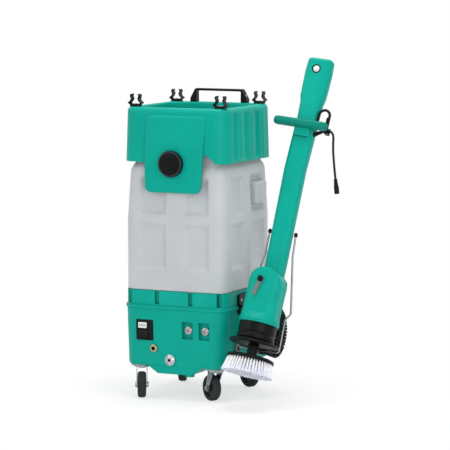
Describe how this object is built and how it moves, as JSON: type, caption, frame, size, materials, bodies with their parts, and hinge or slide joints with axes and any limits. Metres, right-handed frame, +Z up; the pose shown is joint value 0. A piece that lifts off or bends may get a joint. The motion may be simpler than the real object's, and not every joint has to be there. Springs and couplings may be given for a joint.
{
  "type": "cleaning cart",
  "caption": "Wheeled cleaning cart: teal base, translucent solution tank, teal upper tank with tray and screw cap, and a side rack holding a corded rotary hand scrubber and a spare brush.",
  "frame": {"origin": "middle of the object's box without the free lead, on the floor", "axes": "+Z up, -Y the front with the screw cap and buttons, +X the side with the rack and scrubber"},
  "size_m": [0.6229, 0.4934, 1.0363],
  "materials": {
    "teal_plastic": "satin moulded",
    "tank_plastic": "translucent blow-moulded",
    "black_plastic": "fine grain",
    "grey_plastic": "satin",
    "white_plastic": "gloss",
    "chrome": "polished",
    "zinc_steel": "zinc plated",
    "brass": "turned",
    "rubber": "matt",
    "tyre": "matt",
    "hub_plastic": "satin",
    "white_bristle": "nylon",
    "black_bristle": "nylon"
  },
  "bodies": {
    "cart": {"base_housing": "teal_plastic", "solution_tank": "tank_plastic", "switch_panel": "black_plastic", "meter_window": "white_plastic", "brass_coupling": "brass", "chrome_outlet": "chrome", "button_bezels": "chrome", "rack_plate": "black_plastic", "charge_socket": "grey_plastic", "caster_plates": "zinc_steel", "battery_pack": "black_plastic", "pump_unit": "black_plastic", "hoses": "rubber", "control_box": "grey_plastic", "wire_rack": "chrome", "rack_caps": "rubber", "spare_peg": "black_plastic"},
    "upper_tank": {"upper_tank": "teal_plastic", "cap_gasket": "rubber", "tool_clips": "black_plastic", "carry_handle": "black_plastic"},
    "screw_cap": {"screw_cap": "black_plastic"},
    "power_rocker": {"power_rocker": "black_plastic"},
    "button_left": {"push_button_left": "chrome"},
    "button_right": {"push_button_right": "chrome"},
    "spare_brush": {"spare_brush_plate": "black_plastic", "spare_bristles": "black_bristle"},
    "scrubber": {"scrubber_guard_disc": "black_plastic", "scrubber_gearbox": "black_plastic", "scrubber_motor": "zinc_steel", "scrubber_motor_housing": "teal_plastic", "scrubber_pivot_pin": "zinc_steel", "scrubber_lock_knob": "black_plastic"},
    "brush": {"scrubber_bristles": "white_bristle", "scrubber_brush_plate": "black_plastic", "scrubber_drive_hub": "black_plastic"},
    "lock_lever": {"scrubber_lock_lever": "grey_plastic"},
    "stem": {"scrubber_stem": "teal_plastic", "scrubber_head": "teal_plastic", "scrubber_cross_handle": "teal_plastic", "scrubber_cord_hook": "black_plastic", "scrubber_cord_gland": "rubber", "tool_lead": "rubber", "lead_connector": "black_plastic"},
    "trigger": {"scrubber_trigger": "black_plastic"},
    "caster_front_left": {"caster_fork_front_left": "zinc_steel"},
    "wheel_front_left": {"caster_wheel_front_left": "hub_plastic", "caster_tyre_front_left": "tyre"},
    "caster_front_right": {"caster_fork_front_right": "zinc_steel"},
    "wheel_front_right": {"caster_wheel_front_right": "hub_plastic", "caster_tyre_front_right": "tyre"},
    "caster_rear_left": {"caster_fork_rear_left": "zinc_steel"},
    "wheel_rear_left": {"caster_wheel_rear_left": "hub_plastic", "caster_tyre_rear_left": "tyre"},
    "caster_rear_right": {"caster_fork_rear_right": "zinc_steel"},
    "wheel_rear_right": {"caster_wheel_rear_right": "hub_plastic", "caster_tyre_rear_right": "tyre"}
  },
  "joints": [
    {"name": "upper_tank_lift", "type": "slide", "parent": "cart", "child": "upper_tank", "axis": [0, 0, 1], "range_m": [0, 0.2]},
    {"name": "cap_turn", "type": "hinge", "parent": "upper_tank", "child": "screw_cap", "pos_m": [-0.11605, -0.14597, 0.723], "axis": [0, -1, 0], "range_deg": [0, 270]},
    {"name": "rocker_tip", "type": "hinge", "parent": "cart", "child": "power_rocker", "pos_m": [-0.21355, -0.12592, 0.199], "axis": [1, 0, 0], "range_deg": [-8, 8]},
    {"name": "button_press_left", "type": "slide", "parent": "cart", "child": "button_left", "axis": [0, 1, 0], "range_m": [0, 0.003], "stiffness_N_per_m": 400},
    {"name": "button_press_right", "type": "slide", "parent": "cart", "child": "button_right", "axis": [0, 1, 0], "range_m": [0, 0.003], "stiffness_N_per_m": 400},
    {"name": "spare_brush_pull", "type": "slide", "parent": "cart", "child": "spare_brush", "axis": [1, 0, 0], "range_m": [0, 0.03]},
    {"name": "scrubber_dock", "type": "slide", "parent": "cart", "child": "scrubber", "axis": [0.0921, -0.9344, 0.3441], "range_m": [0, 0.25]},
    {"name": "brush_spin", "type": "hinge", "parent": "scrubber", "child": "brush", "pos_m": [0.1517, -0.15297, 0.15532], "axis": [0.0881, 0.3518, 0.9319], "continuous": true},
    {"name": "lock_turn", "type": "hinge", "parent": "scrubber", "child": "lock_lever", "pos_m": [0.16854, -0.11827, 0.38744], "axis": [0.0921, -0.9344, 0.3441], "range_deg": [-90, 0]},
    {"name": "stem_tilt", "type": "hinge", "parent": "scrubber", "child": "stem", "pos_m": [0.17, -0.04084, 0.36773], "axis": [-0.9918, -0.0555, 0.1147], "range_deg": [0, 40]},
    {"name": "trigger_squeeze", "type": "hinge", "parent": "stem", "child": "trigger", "pos_m": [0.22154, 0.18977, 0.92499], "axis": [-0.9918, -0.0555, 0.1147], "range_deg": [0, 9], "stiffness_Nm_per_rad": 1},
    {"name": "swivel_front_left", "type": "hinge", "parent": "cart", "child": "caster_front_left", "pos_m": [-0.24105, -0.09597, 0.098], "axis": [0, 0, 1], "continuous": true},
    {"name": "roll_front_left", "type": "hinge", "parent": "caster_front_left", "child": "wheel_front_left", "pos_m": [-0.23091, -0.11772, 0.04], "axis": [-0.9063, -0.4226, 0], "continuous": true},
    {"name": "swivel_front_right", "type": "hinge", "parent": "cart", "child": "caster_front_right", "pos_m": [0.00895, -0.09597, 0.098], "axis": [0, 0, 1], "continuous": true},
    {"name": "roll_front_right", "type": "hinge", "parent": "caster_front_right", "child": "wheel_front_right", "pos_m": [-0.01071, -0.0822, 0.04], "axis": [0.5736, 0.8192, 0], "continuous": true},
    {"name": "swivel_rear_left", "type": "hinge", "parent": "cart", "child": "caster_rear_left", "pos_m": [-0.24105, 0.18403, 0.098], "axis": [0, 0, 1], "continuous": true},
    {"name": "roll_rear_left", "type": "hinge", "parent": "caster_rear_left", "child": "wheel_rear_left", "pos_m": [-0.24926, 0.20659, 0.04], "axis": [0.9397, 0.342, 0], "continuous": true},
    {"name": "swivel_rear_right", "type": "hinge", "parent": "cart", "child": "caster_rear_right", "pos_m": [0.00895, 0.18403, 0.098], "axis": [0, 0, 1], "continuous": true},
    {"name": "roll_rear_right", "type": "hinge", "parent": "caster_rear_right", "child": "wheel_rear_right", "pos_m": [-0.01184, 0.19603, 0.04], "axis": [0.5, 0.866, 0], "continuous": true}
  ]
}
